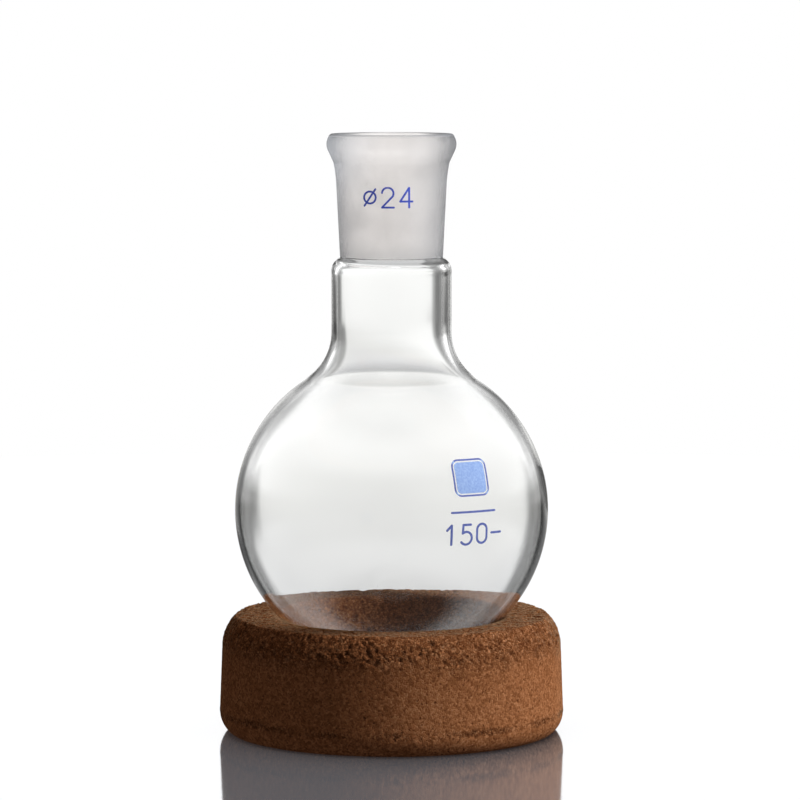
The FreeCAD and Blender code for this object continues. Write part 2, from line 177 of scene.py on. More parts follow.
# Surroundings, in metres. The floor lies a hair under the ring. Each softbox has a name, a place, a target,
# a width, a height, a power in watts and a colour. Those for the prints light nothing else.
FLOOR_RADIUS = 0.62
FLOOR_SIDES = 96
FLOOR_DROP = 0.00005
CORK_AND_GLASS = (0, 0, 0.05)
MARKS = (0, 0, 0.09)
SOFTBOXES = (
    ("key_softbox", (0.80, -0.17, 0.60), CORK_AND_GLASS, 0.4, 0.5, 15.3, (0.92, 1.0, 1.12)),
    ("top_softbox", (0.06, 0.1, 1.0), CORK_AND_GLASS, 0.5, 0.5, 4.0, WHITE),
)
PRINT_SOFTBOXES = (
    ("print_softbox", (0.10, -1.0, 0.40), MARKS, 0.5, 0.5, 7.5, WHITE),
    ("print_back_softbox", (0, 1.0, 0.40), MARKS, 0.5, 0.5, 5.0, WHITE),
)
CAMERA_PLACE = (0.0020, -0.9557, 0.1670)
CAMERA_DROP = 5.30
LENS = 183.15
SENSOR = 36.0

# Repeatable noise: whole numbers are multiplied by large primes and mixed within 32 bits.
SEED = 11
CELL_PRIMES = (73856093, 19349663, 83492791)
CHANNEL_PRIME = 7919
SEED_PRIME = 104729
MIXER = 0x45D9F3B
ALL_BITS = 0xFFFFFFFF

SAME_PLACE = 1e-6


# ---------------------------------------------------------------- meshes

def make_object(name, vertices, faces, materials, indices=None):
    """A smooth-shaded object from points in millimetres."""
    mesh = bpy.data.meshes.new(name)
    mesh.from_pydata((np.asarray(vertices) * MM).tolist(), [], faces)
    for material in materials:
        mesh.materials.append(material)
    if indices is not None:
        mesh.polygons.foreach_set("material_index", np.asarray(indices, np.int32))
    mesh.polygons.foreach_set("use_smooth", np.ones(len(mesh.polygons), bool))
    tidy = bmesh.new()
    tidy.from_mesh(mesh)
    bmesh.ops.recalc_face_normals(tidy, faces=tidy.faces)
    tidy.to_mesh(mesh)
    tidy.free()
    piece = bpy.data.objects.new(name, mesh)
    bpy.context.scene.collection.objects.link(piece)
    return piece


def arc_points(centre, radius, first, last, step):
    """Points on an arc between two angles in degrees, about a step apart."""
    count = max(2, round(abs(math.radians(last - first)) * radius / step))
    angles = np.radians(np.linspace(first, last, count + 1))
    return np.column_stack((centre[0] + radius * np.cos(angles), centre[1] + radius * np.sin(angles)))


def line_points(start, end, step):
    """Points on a straight line between two places, about a step apart."""
    count = max(1, round(math.dist(start, end) / step))
    return np.linspace(start, end, count + 1)


def leaving_arc_points(start, heading, end, step):
    """Points on the arc that leaves a start along a heading and reaches an end."""
    start, end = np.array(start, float), np.array(end, float)
    chord = end - start
    left = np.array((-heading[1], heading[0]), float)
    left /= np.linalg.norm(left)
    reach = chord @ chord / (2 * chord @ left)
    centre = start + left * reach
    first, last = (math.degrees(math.atan2(*(spot - centre)[::-1])) for spot in (start, end))
    if reach > 0 and last < first:
        last += 360
    if reach < 0 and last > first:
        last -= 360
    return arc_points(centre, abs(reach), first, last, step)


def fuse_runs(runs):
    """Join runs of points end to end without doubled joints. Returns the points and each one's run number."""
    points, numbers = [], []
    for number, run in enumerate(runs):
        fresh = run if not points or math.dist(points[-1], run[0]) > SAME_PLACE else run[1:]
        points.extend(tuple(point) for point in fresh)
        numbers.extend([number] * len(fresh))
    return np.array(points), np.array(numbers)


def grid_faces(rows, turns, closed):
    """Faces between neighbouring rows of points round an axis, and the row each face starts from."""
    last = rows if closed else rows - 1
    row, turn = np.meshgrid(np.arange(last), np.arange(turns), indexing="ij")
    start, above = row * turns, (row + 1) % rows * turns
    beside = (turn + 1) % turns
    corners = np.stack((start + turn, start + beside, above + beside, above + turn), -1)
    return corners.reshape(-1, 4).tolist(), row.ravel()


# ---------------------------------------------------------------- repeatable noise

def scatter(cells, channel):
    """A repeatable number from 0 to 1 for each whole-number grid cell. Each channel is another pattern."""
    mixed = cells[:, 0] * CELL_PRIMES[0] ^ cells[:, 1] * CELL_PRIMES[1] ^ cells[:, 2] * CELL_PRIMES[2]
    mixed = (mixed + channel * CHANNEL_PRIME + SEED * SEED_PRIME) & ALL_BITS
    for _ in range(2):
        mixed = ((mixed >> 16) ^ mixed) * MIXER & ALL_BITS
    return ((mixed >> 16) ^ mixed) / ALL_BITS


def granules(points, size, channel):
    """Cells of a jittered grid: distance to the nearest centre, to the next, and the nearest one's number."""
    cells = np.floor(points / size).astype(np.int64)
    nearest = np.full(len(points), 9.0)
    following = np.full(len(points), 9.0)
    number = np.zeros(len(points))
    for shift in itertools.product((-1, 0, 1), repeat=3):
        corner = cells + np.array(shift)
        jitter = np.column_stack([scatter(corner, channel + axis) for axis in range(3)])
        away = np.linalg.norm(points / size - corner - jitter, axis=1)
        closer = away < nearest
        following = np.where(closer, nearest, np.minimum(following, away))
        number = np.where(closer, scatter(corner, channel + 3), number)
        nearest = np.minimum(nearest, away)
    return nearest, following, number


def soft_noise(points, size, channel):
    """Smooth noise from -1 to 1 with bumps of about a size."""
    scaled = points / size
    cell = np.floor(scaled).astype(np.int64)
    part = scaled - cell
    part = part * part * (3 - 2 * part)
    total = np.zeros(len(points))
    for shift in itertools.product((0, 1), repeat=3):
        corner = np.array(shift)
        weight = np.prod(np.where(corner, part, 1 - part), axis=1)
        total += weight * scatter(cell + corner, channel)
    return 2 * total - 1


def ramp(value, low, high):
    """0 below low, 1 above high, and smooth between them."""
    part = np.clip((value - low) / (high - low), 0, 1)
    return part * part * (3 - 2 * part)


# ---------------------------------------------------------------- node materials

class Shader:
    """A short way to write a node tree."""

    def __init__(self, tree):
        self.tree = tree
        self.tree.nodes.clear()

    def add(self, kind, settings=None, **inputs):
        node = self.tree.nodes.new("ShaderNode" + kind)
        for name, setting in (settings or {}).items():
            setattr(node, name, setting)
        for name, value in inputs.items():
            socket = node.inputs[int(name[1:])] if name[1:].isdigit() else node.inputs[name.replace("_", " ")]
            self.feed(socket, value)
        return node

    def feed(self, socket, value):
        if isinstance(value, bpy.types.NodeSocket):
            self.tree.links.new(value, socket)
        elif isinstance(value, tuple) and socket.type == "RGBA" and len(value) == 3:
            socket.default_value = (*value, 1.0)
        else:
            socket.default_value = value

    def maths(self, operation, first, second=0.0, third=0.0, clamp=False):
        settings = {"operation": operation, "use_clamp": clamp}
        return self.add("Math", settings, _0=first, _1=second, _2=third).outputs[0]

    def blend(self, factor, first, second, mode="MIX"):
        node = self.add("MixRGB", {"blend_type": mode})
        for socket, value in zip(node.inputs, (factor, first, second)):
            self.feed(socket, value)
        return node.outputs[0]

    def curve(self, factor, stops):
        """A colour ramp: stops are (place, grey level or colour)."""
        node = self.add("ValToRGB", None, Fac=factor)
        ends = node.color_ramp.elements
        while len(ends) < len(stops):
            ends.new(0.5)
        for element, (place, tone) in zip(ends, stops):
            element.position = place
            element.color = (tone, tone, tone, 1) if isinstance(tone, (int, float)) else (*tone, 1)
        return node.outputs[0]

    def mix(self, factor, first, second):
        node = self.add("MixShader")
        for socket, value in zip(node.inputs, (factor, first, second)):
            self.feed(socket, value)
        return node.outputs[0]


def new_material(name):
    """A new node material, and the shader that writes its nodes."""
    material = bpy.data.materials.new(name)
    material.use_nodes = True
    return material, Shader(material.node_tree)


def lets_light_through(shader, surface, straight, slanted):
    """Light for other things passes the glass, less of it where it meets the glass at a slant."""
    path = shader.add("LightPath")
    passing = shader.maths("MAXIMUM", path.outputs["Is Shadow Ray"], path.outputs["Is Diffuse Ray"])
    facing = shader.add("LayerWeight", None, Blend=0.5).outputs["Facing"]
    tint = shader.curve(facing, ((0.25, straight), (0.85, slanted)))
    clear = shader.add("BsdfTransparent", None, Color=tint)
    return shader.mix(passing, surface, clear.outputs[0])


def clear_glass():
    """Clear blown glass with a faint ripple."""
    material, shader = new_material("clear_glass")
    place = shader.add("TexCoord").outputs["Object"]
    ripple = shader.add("TexNoise", None, Vector=place, Scale=55.0, Detail=1.0)
    bump = shader.add("Bump", None, Height=ripple.outputs[0], Strength=0.05, Distance=0.0006)
    glass = shader.add("BsdfPrincipled", None, Base_Color=(0.985, 0.99, 0.988), Roughness=0.0, IOR=GLASS_IOR,
                       Transmission_Weight=1.0, Normal=bump.outputs[0])
    out = shader.add("OutputMaterial")
    surface = lets_light_through(shader, glass.outputs[0], (0.96, 0.96, 0.955), (0.30, 0.28, 0.27))
    shader.feed(out.inputs["Surface"], surface)
    return material


def ground_glass(name, roughness, haze, tone):
    """Glass with a ground face: it blurs what passes, and scatters a little of it."""
    material, shader = new_material(name)
    place = shader.add("TexCoord").outputs["Object"]
    grain = shader.add("TexNoise", None, Vector=place, Scale=2600.0, Detail=3.0, Roughness=0.6)
    cloud = shader.add("TexNoise", None, Vector=place, Scale=180.0, Detail=3.0, Roughness=0.6)
    bump = shader.add("Bump", None, Height=grain.outputs[0], Strength=0.5, Distance=0.00006)
    matt = shader.add("BsdfDiffuse", None, Color=tone, Roughness=1.0, Normal=bump.outputs[0])
    glow = shader.add("BsdfTranslucent", None, Color=tone, Normal=bump.outputs[0])
    scattered = shader.mix(0.6, matt.outputs[0], glow.outputs[0])
    share = shader.curve(cloud.outputs[0], ((0.3, haze * 0.8), (0.7, haze * 1.2)))
    speckle = shader.add("TexNoise", None, Vector=place, Scale=1500.0, Detail=2.0).outputs[0]
    share = shader.maths("MULTIPLY", share, shader.maths("MULTIPLY_ADD", speckle, 0.6, third=0.7))
    height = shader.add("SeparateXYZ", None, Vector=place).outputs[2]
    on_bead = shader.maths("GREATER_THAN", height, (RIM - BEAD_DEPTH) * MM)
    share = shader.maths("MULTIPLY", share, shader.maths("MULTIPLY_ADD", on_bead, -BEAD_CLEARER, third=1.0))
    patchy = shader.curve(cloud.outputs[0], ((0.3, roughness * 0.9), (0.7, roughness * 1.1)))
    glass = shader.add("BsdfRefraction", None, Color=tone, Roughness=patchy, IOR=GLASS_IOR,
                       Normal=bump.outputs[0])
    surface = shader.mix(share, glass.outputs[0], scattered)
    out = shader.add("OutputMaterial")
    surface = lets_light_through(shader, surface, (0.75, 0.74, 0.73), (0.30, 0.29, 0.28))
    shader.feed(out.inputs["Surface"], surface)
    return material


def cork():
    """Pressed cork: granules of several browns, with painted shade in the pores, hollows and open seams, a
    painted sheen at grazing angles, and a fine broken surface.
    """
    material, shader = new_material("pressed_cork")
    place = shader.add("TexCoord").outputs["Object"]
    tone = shader.add("Attribute", {"attribute_name": "tone"}).outputs["Fac"]
    pit = shader.add("Attribute", {"attribute_name": "pit"}).outputs["Fac"]
    rough = shader.add("Attribute", {"attribute_name": "open_grain"}).outputs["Fac"]
    fine = shader.add("TexNoise", None, Vector=place, Scale=2100.0, Detail=4.0, Roughness=0.7).outputs[0]
    broad = shader.add("TexNoise", None, Vector=place, Scale=70.0, Detail=3.0).outputs[0]
    drift = shader.add("TexNoise", None, Vector=place, Scale=900.0, Detail=2.0).outputs["Color"]
    drift_size = (1.1 * MM,) * 3
    bend = shader.add("VectorMath", {"operation": "MULTIPLY_ADD"}, _0=drift, _1=drift_size, _2=place)
    bent = bend.outputs[0]
    chips = shader.add("TexVoronoi", None, Vector=bent, Scale=CHIP_SCALE)
    gaps = shader.add("TexVoronoi", {"feature": "DISTANCE_TO_EDGE"}, Vector=bent, Scale=CHIP_SCALE).outputs[0]
    chip = shader.add("SeparateColor", None, Color=chips.outputs["Color"])
    gap = shader.curve(gaps, ((0.02, 1.0), (0.16, 0.0)))
    speck = shader.curve(chip.outputs[1], ((0.83, 0.0), (0.88, 1.0)))
    hollow = shader.curve(chips.outputs["Distance"], ((0.15, 1.0), (0.5, 0.0)))
    speck = shader.maths("MULTIPLY", speck, hollow)
    browns = ((0.0, (0.110, 0.032, 0.010)), (0.3, (0.220, 0.076, 0.026)), (0.55, (0.320, 0.120, 0.045)),
              (0.8, (0.430, 0.182, 0.076)), (1.0, (0.580, 0.300, 0.150)))
    spread = shader.maths("MULTIPLY_ADD", rough, 0.25, third=0.42)
    shade = shader.maths("MULTIPLY_ADD", shader.maths("SUBTRACT", chip.outputs[0], 0.5), spread, third=0.42)
    weight = shader.maths("MULTIPLY_ADD", rough, 0.18, third=0.12)
    shade = shader.maths("MULTIPLY_ADD", shader.maths("SUBTRACT", tone, 0.5), weight, third=shade)
    shade = shader.maths("MULTIPLY_ADD", shader.maths("SUBTRACT", fine, 0.5), 0.95, third=shade)
    shade = shader.maths("MULTIPLY_ADD", shader.maths("SUBTRACT", broad, 0.5), 0.25, third=shade, clamp=True)
    colour = shader.curve(shade, browns)
    # Painted sheen: open grain seen at a grazing angle is blended towards a pale colour, standing in for a
    # reflection of the bright wall behind.
    grazing = shader.add("LayerWeight", None, Blend=0.5).outputs["Facing"]
    painted_sheen = shader.maths("MULTIPLY", rough, shader.curve(grazing, ((0.68, 0.0), (0.90, 0.30))))
    colour = shader.blend(painted_sheen, colour, (0.50, 0.40, 0.24))
    # Painted shade: the lost granules' hollows, the small dented pores and, on open grain, the seams between
    # granules are darkened towards a near-black brown.
    painted_hollow_shade = shader.maths("MULTIPLY", pit, 0.72)
    painted_hollow_shade = shader.maths("MAXIMUM", painted_hollow_shade, shader.maths("MULTIPLY", speck, 0.8))
    painted_hollow_shade = shader.maths("MAXIMUM", painted_hollow_shade, shader.maths("MULTIPLY", shader.maths("MULTIPLY", gap, rough), 0.6))
    colour = shader.blend(painted_hollow_shade, colour, (0.034, 0.010, 0.004))
    height = shader.maths("MULTIPLY_ADD", fine, 0.6, third=shader.maths("MULTIPLY", chip.outputs[0], 0.5))
    height = shader.maths("SUBTRACT", height, shader.maths("MULTIPLY", gap, 0.5))
    height = shader.maths("SUBTRACT", height, shader.maths("MULTIPLY", speck, 0.9))
    strength = shader.maths("MULTIPLY_ADD", rough, 0.5, third=0.4)
    bump = shader.add("Bump", None, Height=height, Strength=strength, Distance=0.00028)
    surface = shader.add("BsdfPrincipled", None, Base_Color=colour, Roughness=0.9, Specular_IOR_Level=0.0,
                         Normal=bump.outputs[0])
    out = shader.add("OutputMaterial")
    shader.feed(out.inputs["Surface"], surface.outputs[0])
    return material


def enamel(name, dark, light, roughness):
    """Fired enamel: a thin print with a faint mottle and a soft sheen."""
    material, shader = new_material(name)
    place = shader.add("TexCoord").outputs["Object"]
    mottle = shader.add("TexNoise", None, Vector=place, Scale=2600.0, Detail=3.0).outputs[0]
    colour = shader.curve(mottle, ((0.35, dark), (0.65, light)))
    bump = shader.add("Bump", None, Height=mottle, Strength=0.25, Distance=0.00004)
    surface = shader.add("BsdfPrincipled", None, Base_Color=colour, Roughness=roughness,
                         Specular_IOR_Level=0.15, Normal=bump.outputs[0])
    out = shader.add("OutputMaterial")
    shader.feed(out.inputs["Surface"], surface.outputs[0])
    return material


# ---------------------------------------------------------------- glass

def glass_face(ball, tube, sweep, shoulder, seam_radius):
    """One face of the glass in section, from the bottom of the bulb up to the seam."""
    collar = (tube + sweep, BULB_CENTRE + math.sqrt((ball + sweep) ** 2 - (tube + sweep) ** 2))
    lean = math.degrees(math.atan2(collar[1] - BULB_CENTRE, collar[0]))
    neck_top = SEAM - shoulder
    return (arc_points((0, BULB_CENTRE), ball, -90, lean, GLASS_STEP),
            arc_points(collar, sweep, 180 + lean, 180, GLASS_STEP),
            line_points((tube, collar[1]), (tube, neck_top), GLASS_STEP),
            leaving_arc_points((tube, neck_top), (0, 1), (seam_radius, SEAM), GLASS_STEP / 2))


def glass_outline():
    """The closed section of the flask, from the bottom of the bulb outside, over the rim, to its inside.

    Returns its points, each one's material, and which of them are on the clear inside face.
    """
    seam_bore = BORE_RADIUS - (RIM - SEAM) * BORE_TAPER
    seam_radius = seam_bore + SOCKET_WALL
    flare = (BORE_RADIUS - FLARE_DEPTH * BORE_TAPER + SOCKET_WALL, RIM - FLARE_DEPTH)
    foot = (BEAD_FOOT_RADIUS, RIM - BEAD_DEPTH)
    bead_centre = (BEAD_RADIUS - BEAD_CURVE, RIM - BEAD_DROP)
    to_foot = (foot[0] - bead_centre[0], foot[1] - bead_centre[1])
    low = math.degrees(math.atan2(to_foot[1], to_foot[0]) + math.acos(BEAD_CURVE / math.hypot(*to_foot)))
    bead_high = RIM - RIM_ROUND
    high = math.degrees(math.asin((bead_high - bead_centre[1]) / BEAD_CURVE))
    bead = arc_points(bead_centre, BEAD_CURVE, low, high, GLASS_STEP / 2)
    rim_start = (bead[-1][0] - RIM_ROUND, RIM)
    bore_top = (BORE_RADIUS + BORE_ROUND, RIM)
    outside = glass_face(BULB_RADIUS, NECK_RADIUS, OUTER_SWEEP, OUTER_SHOULDER, seam_radius)
    flank = (
        line_points((seam_radius, SEAM), flare, GLASS_STEP),
        leaving_arc_points(flare, (BORE_TAPER, 1), foot, GLASS_STEP),
        line_points(foot, bead[0], GLASS_STEP / 2),
        bead,
    )
    ground = (
        leaving_arc_points(bead[-1], (-RIM_LEAN, 1), rim_start, GLASS_STEP / 3),
        line_points(rim_start, bore_top, GLASS_STEP),
        leaving_arc_points(bore_top, (-1, 0), (BORE_RADIUS, RIM - BORE_ROUND), GLASS_STEP / 4),
        line_points((BORE_RADIUS, RIM - BORE_ROUND), (seam_bore, SEAM), GLASS_STEP),
    )
    ball, tube = BULB_RADIUS - BULB_WALL, NECK_RADIUS - NECK_WALL
    inside = glass_face(ball, tube, INNER_SWEEP, INNER_SHOULDER, seam_bore)
    inside = [run[::-1] for run in inside[::-1]]
    outline, numbers = fuse_runs([*outside, *flank, *ground, *inside])
    kinds = [CLEAR] * len(outside) + [FLANK] * len(flank) + [GROUND] * len(ground) + [CLEAR] * len(inside)
    first_inside = len(kinds) - len(inside)
    return outline, np.array(kinds)[numbers], numbers >= first_inside


def make_uneven(points, inner, turn):
    """Move the inside face as blown glass has it: bore off the axis, a ridge under the seam, a wavy wall."""
    height = points[:, 2].copy()
    in_neck = ramp(height, BULB_CENTRE + BULB_RADIUS * NECK_ROOT, BULB_CENTRE + BULB_RADIUS * NECK_START)
    in_neck = in_neck * (1 - ramp(height, SEAM - SHIFT_FADE, SEAM - 0.5)) * inner
    points[:, 0] -= BORE_SHIFT * in_neck
    ridge_height = SEAM - RIDGE_DROP - RIDGE_SWAY * np.sin(turn + RIDGE_PHASE)
    ridge = RIDGE_RISE * np.exp(-((height - ridge_height) / RIDGE_WIDTH) ** 2) * inner
    spoke = points[:, :2] / np.linalg.norm(points[:, :2], axis=1)[:, None]
    points[:, :2] -= spoke * ridge[:, None]
    wander = sum(depth * soft_noise(points, length, channel) for length, channel, depth in WALL_WAVES)
    wander = wander * (1 - ramp(height, SEAM - WAVE_FADE, SEAM - 1)) * inner
    away = points - np.array((0, 0, BULB_CENTRE))
    away /= np.linalg.norm(away, axis=1)[:, None]
    points += away * wander[:, None]


def make_glass(materials):
    """The whole flask in one closed skin, so that the fused seam shows no face inside the glass."""
    outline, kinds, inside = glass_outline()
    middle = outline[1:-1]
    turns = np.arange(GLASS_TURNS) * 2 * math.pi / GLASS_TURNS
    rings = np.stack((middle[:, :1] * np.cos(turns), middle[:, :1] * np.sin(turns),
                      np.repeat(middle[:, 1:], GLASS_TURNS, axis=1)), -1)
    points = rings.reshape(-1, 3)
    make_uneven(points, np.repeat(inside[1:-1], GLASS_TURNS), np.tile(turns, len(middle)))

    vertices = np.vstack((points, [(0, 0, outline[0][1])], [(0, 0, outline[-1][1])]))
    faces, rows = grid_faces(len(middle), GLASS_TURNS, False)
    indices = kinds[1:-1][rows].tolist()
    low_pole, high_pole = len(points), len(points) + 1
    last = (len(middle) - 1) * GLASS_TURNS
    for turn in range(GLASS_TURNS):
        beside = (turn + 1) % GLASS_TURNS
        faces.append((low_pole, beside, turn))
        faces.append((high_pole, last + turn, last + beside))
    indices += [CLEAR] * (2 * GLASS_TURNS)
    return make_object("glass_flask", vertices, faces, materials, indices)


# ---------------------------------------------------------------- cork ring

def cork_outline():
    """The closed section of the ring: up the tapered hole, over the top, down the side and under."""
    slope = math.atan2(MOUTH_RADIUS - HOLE_RADIUS, RING_HEIGHT)
    reach = MOUTH_ROUND / math.tan(math.pi / 4 + slope / 2)
    hole_end = (MOUTH_RADIUS - reach * math.sin(slope), RING_HEIGHT - reach * math.cos(slope))
    hole_middle = (HOLE_RADIUS + (hole_end[0] - HOLE_RADIUS) * 0.55, hole_end[1] * 0.55)
    mouth_end = (MOUTH_RADIUS + reach, RING_HEIGHT)
    crown = (CROWN_RADIUS, RING_HEIGHT)
    side_low, side_high = (RING_RADIUS, SIDE_BOTTOM), (RING_RADIUS - SIDE_DRAFT, SIDE_TOP)
    heading = (side_high[0] - side_low[0], side_high[1] - side_low[1])
    runs = (
        line_points((HOLE_RADIUS, 0), hole_middle, CORK_STEP * 2.8),
        line_points(hole_middle, hole_end, CORK_STEP * 1.4),
        leaving_arc_points(hole_end, (math.sin(slope), math.cos(slope)), mouth_end, CORK_STEP),
        line_points(mouth_end, crown, CORK_STEP),
        leaving_arc_points(side_high, heading, crown, CORK_STEP)[::-1],
        line_points(side_high, side_low, CORK_STEP * 1.2),
        leaving_arc_points(side_low, (-heading[0], -heading[1]), (FOOT_RADIUS, 0), CORK_STEP),
        line_points((FOOT_RADIUS, 0), (HOLE_RADIUS, 0), CORK_STEP * 5.5),
    )
    outline, _ = fuse_runs(runs)
    return outline[:-1]


def open_share(points, radius, height):
    """How open the grain is: 1 on the top, in the hole and along the foot's ragged line, 0.1 on the side."""
    swayed = height + SIDE_SWAY * soft_noise(points, *SIDE_NOISE)
    on_side = 1 - ramp(swayed, SIDE_TOP - SIDE_EDGE, SIDE_TOP + SIDE_EDGE)
    on_side = on_side * ramp(radius, HOLE_RADIUS + SIDE_START, RING_RADIUS - SIDE_END)
    off_line = np.abs(height - SIDE_BOTTOM - LINE_SWAY * soft_noise(points, *LINE_NOISE))
    ragged = (1 - ramp(off_line, *LINE_EDGE)) * ramp(radius, RING_RADIUS - 2, RING_RADIUS - 1)
    ragged = ragged * ramp(soft_noise(points, *BREAK_NOISE), *LINE_BREAKS)
    return np.clip(1 - SIDE_SMOOTHNESS * on_side + SIDE_SMOOTHNESS * ragged, 0, 1)


def granule_marks(points, kind):
    """For one sort of granule, at each point: its number, and how much of a seam and of a lost granule."""
    near, following, number = granules(points, kind.size, kind.channel)
    seam = 1 - ramp(following - near, *kind.seam)
    lost = ramp(number, *kind.lost) * (1 - ramp(near, *kind.hollow))
    return number, seam, lost


def cork_grain(points, radius, height):
    """Depth of the surface under its outline at each point, and the values that the material reads.

    Large granules stand proud or sunk by their number, and the bulb's seat at the mouth is pressed smooth.
    The pit value is painted shade for the hollows of lost granules and the open grooves.
    """
    open_grain = open_share(points, radius, height)
    drift = [soft_noise(points, DRIFT_LENGTH, DRIFT_CHANNEL + axis) for axis in range(3)]
    warped = points + DRIFT * np.column_stack(drift)
    numbers, seams, losses = zip(*(granule_marks(warped, kind) for kind in GRANULES))
    groove = sum(kind.in_groove * seam for kind, seam in zip(GRANULES, seams))
    groove = np.clip(groove, 0, 1)
    pit = sum(kind.in_pit * lost for kind, lost in zip(GRANULES, losses))
    pit = np.clip(pit, 0, 1) * open_grain
    tone = sum(kind.in_tone * number for kind, number in zip(GRANULES, numbers))
    # Painted shade: on open grain the tone is lowered in the grooves between granules.
    tone = np.clip(tone - groove * GROOVE_SHADE_ON_TONE * open_grain, 0, 1)

    relief = groove * GROOVE_DEPTH + (numbers[0] - 0.5) * GRANULE_RELIEF
    relief += soft_noise(points, *FINE_NOISE) * WAVE_DEPTH
    depth = pit * PIT_DEPTH + relief * open_grain + soft_noise(points, *BROAD_NOISE) * WAVE_DEPTH
    depth = np.where(height < UNDERSIDE, np.maximum(depth, 0), depth)
    depth += (1 - ramp(height, 0.0, FOOT_EASE)) * WAVE_DEPTH
    seat = 1 - ramp(np.hypot(radius - MOUTH_RADIUS, height - RING_HEIGHT), *SEAT_EDGE)
    depth = depth * (1 - SEAT_CALM * seat) + SEAT_DEPTH * seat
    # Painted shade: the pit value darkens the hollows of lost granules and the open grooves in the material.
    painted_pit_shade = np.clip(PIT_PAINTED_SHADE * pit + groove * GROOVE_PAINTED_SHADE * open_grain, 0, 1)
    return depth, {"tone": tone, "pit": painted_pit_shade, "open_grain": open_grain}


def make_cork_ring(material):
    """The ring, with its granules, grooves and lost grains pressed into the surface."""
    outline = cork_outline()
    rows = len(outline)
    turns = np.arange(CORK_TURNS) * 2 * math.pi / CORK_TURNS
    spin = np.tile(np.stack((np.cos(turns), np.sin(turns)), -1), (rows, 1))
    along = np.roll(outline, -1, axis=0) - np.roll(outline, 1, axis=0)
    out = np.column_stack((-along[:, 1], along[:, 0]))
    out = np.repeat(out / np.linalg.norm(out, axis=1)[:, None], CORK_TURNS, axis=0)
    radius, height = np.repeat(outline, CORK_TURNS, axis=0).T
    points = np.column_stack((radius[:, None] * spin, height))
    normals = np.column_stack((out[:, :1] * spin, out[:, 1]))
    depth, values = cork_grain(points, radius, height)
    points = points - normals * depth[:, None]
    points[:, 2] = np.clip(points[:, 2], 0.0, RING_HEIGHT)

    faces, _ = grid_faces(rows, CORK_TURNS, True)
    ring = make_object("cork_ring_body", points, faces, [material])
    for name, value in values.items():
        attribute = ring.data.attributes.new(name, "FLOAT", "POINT")
        attribute.data.foreach_set("value", value.astype(np.float32))
    return ring


# ---------------------------------------------------------------- printed marks

def make_print(name, node, reach, materials, choose=None):
    """A thin print that follows the curved glass, from the outline of a CAD mark.

    The mark's mesh is cut finely, and each point is put back on the glass: reach gives the glass radius
    and the point's own distance from the axis or centre. Outer points stand a little proud, inner ones
    lie just inside the glass. With more than one material, choose picks one from the middle of a face.
    """
    work = bmesh.new()
    work.from_mesh(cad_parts[node].data)
    bmesh.ops.remove_doubles(work, verts=work.verts, dist=PRINT_WELD)
    bmesh.ops.triangulate(work, faces=work.faces)
    layer = work.verts.layers.float.new("outer")
    for vertex in work.verts:
        glass, own = reach(vertex.co)
        vertex[layer] = 1.0 if own - glass > PRINT_THICKNESS / 2 else 0.0
    for _ in range(PRINT_ROUNDS):
        long = [edge for edge in work.edges if edge.calc_length() > PRINT_STEP]
        if not long:
            break
        bmesh.ops.subdivide_edges(work, edges=long, cuts=1)
        bmesh.ops.triangulate(work, faces=work.faces)
    for vertex in work.verts:
        glass, own = reach(vertex.co)
        target = glass - PRINT_SUNK + (PRINT_SUNK + PRINT_PROUD) * vertex[layer]
        vertex.co = place_at(vertex.co, target / own, node)
    mesh = bpy.data.meshes.new(name)
    for material in materials:
        mesh.materials.append(material)
    for face in work.faces:
        face.smooth = False
        face.material_index = choose(face.calc_center_median()) if choose else 0
    work.to_mesh(mesh)
    work.free()
    piece = bpy.data.objects.new(name, mesh)
    bpy.context.scene.collection.objects.link(piece)
    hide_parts(node)
    return piece


def from_bulb(point):
    """The bulb's radius, and how far a point lies from its centre."""
    return BULB_RADIUS * MM, (point - Vector((0, 0, BULB_CENTRE * MM))).length


def from_axis(point):
    """The flank's radius at a point's height, and how far the point lies from the axis."""
    depth = RIM - point.z / MM
    return (BORE_RADIUS - depth * BORE_TAPER + SOCKET_WALL) * MM, math.hypot(point.x, point.y)


def place_at(point, scale, node):
    """Move a point in or out: from the bulb's centre, or from the axis for the mark on the socket."""
    if node == "joint_size_mark":
        return Vector((point.x * scale, point.y * scale, point.z))
    centre = Vector((0, 0, BULB_CENTRE * MM))
    return centre + (point - centre) * scale


def field_or_frame(centre):
    """0 for the pale field inside the frame, 1 for the frame and the rule under it."""
    rise = centre.z / MM - BULB_CENTRE - FIELD_RISE
    turn = math.radians(FIELD_TURN) - math.atan2(centre.x, -centre.y)
    across = turn * math.hypot(centre.x, centre.y) / MM
    return 0 if abs(rise) < FIELD_HALF_HEIGHT and abs(across) < FIELD_HALF_WIDTH else 1


def make_prints():
    """The marks, each in its enamel and riding on the flask."""
    dark_blue = enamel("dark_blue_enamel", (0.058, 0.072, 0.195), (0.105, 0.125, 0.290), 0.45)
    pen_blue = enamel("blue_enamel", (0.038, 0.062, 0.320), (0.058, 0.090, 0.430), 0.5)
    pale_blue = enamel("pale_blue_enamel", (0.150, 0.215, 0.385), (0.225, 0.300, 0.450), 0.55)
    size = make_print("size_print", "joint_size_mark", from_axis, [pen_blue])
    capacity = make_print("capacity_print", "capacity_mark", from_bulb, [dark_blue])
    field = make_print("marking_print", "marking_spot", from_bulb, [pale_blue, dark_blue], field_or_frame)
    for piece, slot in ((size, "blue_enamel"), (capacity, "blue_enamel"), (field, "pale_blue_enamel")):
        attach(piece, "flask")
    return size, capacity, field


# ---------------------------------------------------------------- surroundings

